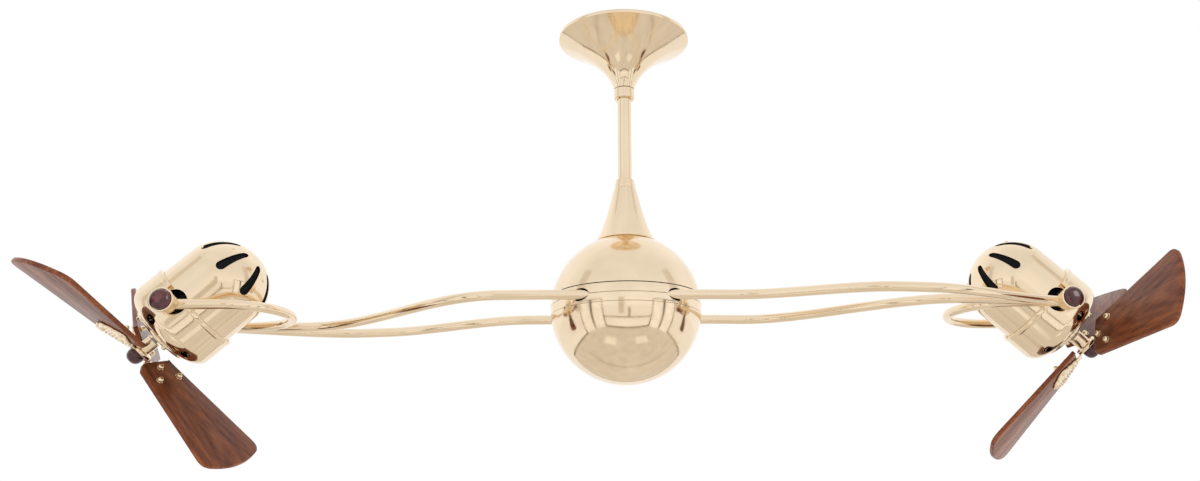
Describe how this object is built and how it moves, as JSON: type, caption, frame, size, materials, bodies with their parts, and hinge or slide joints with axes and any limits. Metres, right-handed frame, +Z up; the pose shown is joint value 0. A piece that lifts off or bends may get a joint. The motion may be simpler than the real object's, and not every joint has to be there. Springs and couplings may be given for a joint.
{
  "type": "twin head ceiling fan",
  "caption": "Ceiling fan with a downrod and sphere that turn two curved-arm yokes, each holding a tilting motor head with a pitched wooden-bladed fan.",
  "frame": {"origin": "middle of the mounting plate's top face, against the ceiling", "axes": "+Z up into the ceiling, +X from the left head to the right head, +Y away from the viewer of the picture"},
  "size_m": [1.4718, 0.3772, 0.5988],
  "materials": {
    "polished_brass": "polished",
    "steel": "satin",
    "dark_steel": "matte",
    "motor_can": "matte",
    "black_plastic": "matte",
    "phenolic": "matte",
    "mahogany": "satin",
    "dark_wood": "gloss"
  },
  "bodies": {
    "ceiling_mount": {"mounting_bracket": "steel", "hanger_ball": "black_plastic", "hanger_pin": "steel", "canopy": "polished_brass", "canopy_collar": "polished_brass", "downrod": "polished_brass", "neck_collar": "polished_brass", "neck_cover": "polished_brass", "coupling": "steel", "upper_dome": "polished_brass", "spindle": "steel", "slip_ring": "phenolic"},
    "rotor": {"upper_ring": "polished_brass", "lower_ring": "polished_brass", "lower_bowl": "polished_brass", "arm_hub": "steel", "rotor_bearing": "steel", "brush_block": "phenolic", "left_front_arm": "polished_brass", "left_back_arm": "polished_brass", "right_front_arm": "polished_brass", "right_back_arm": "polished_brass", "left_yoke": "polished_brass", "right_yoke": "polished_brass", "left_front_cup": "polished_brass", "left_back_cup": "polished_brass", "right_front_cup": "polished_brass", "right_back_cup": "polished_brass", "left_front_finial": "dark_wood", "left_back_finial": "dark_wood", "right_front_finial": "dark_wood", "right_back_finial": "dark_wood"},
    "left_head": {"left_rear_shell": "polished_brass", "left_front_shell": "polished_brass", "left_motor_frame": "dark_steel", "left_motor": "motor_can", "left_face_plate": "polished_brass"},
    "right_head": {"right_rear_shell": "polished_brass", "right_front_shell": "polished_brass", "right_motor_frame": "dark_steel", "right_motor": "motor_can", "right_face_plate": "polished_brass"},
    "left_fan": {"left_motor_shaft": "steel", "left_fan_hub": "polished_brass", "left_hub_cap": "dark_wood", "left_blade_1": "mahogany", "left_blade_2": "mahogany", "left_blade_3": "mahogany", "left_blade_iron_1": "polished_brass", "left_blade_iron_2": "polished_brass", "left_blade_iron_3": "polished_brass"},
    "right_fan": {"right_motor_shaft": "steel", "right_fan_hub": "polished_brass", "right_hub_cap": "dark_wood", "right_blade_1": "mahogany", "right_blade_2": "mahogany", "right_blade_3": "mahogany", "right_blade_iron_1": "polished_brass", "right_blade_iron_2": "polished_brass", "right_blade_iron_3": "polished_brass"}
  },
  "joints": [
    {"name": "rotor_spin", "type": "hinge", "parent": "ceiling_mount", "child": "rotor", "pos_m": [0, 0, -0.394], "axis": [0, 0, 1], "continuous": true},
    {"name": "left_head_tilt", "type": "hinge", "parent": "rotor", "child": "left_head", "pos_m": [-0.566, 0, -0.4008], "axis": [0, 1, 0], "range_deg": [-47.5, 132.5]},
    {"name": "right_head_tilt", "type": "hinge", "parent": "rotor", "child": "right_head", "pos_m": [0.566, 0, -0.4008], "axis": [0, -1, 0], "range_deg": [-47.5, 132.5]},
    {"name": "left_fan_spin", "type": "hinge", "parent": "left_head", "child": "left_fan", "pos_m": [-0.56877, 0, -0.39778], "axis": [-0.7373, 0, -0.6756], "continuous": true},
    {"name": "right_fan_spin", "type": "hinge", "parent": "right_head", "child": "right_fan", "pos_m": [0.56877, 0, -0.39778], "axis": [0.7373, 0, -0.6756], "continuous": true}
  ]
}
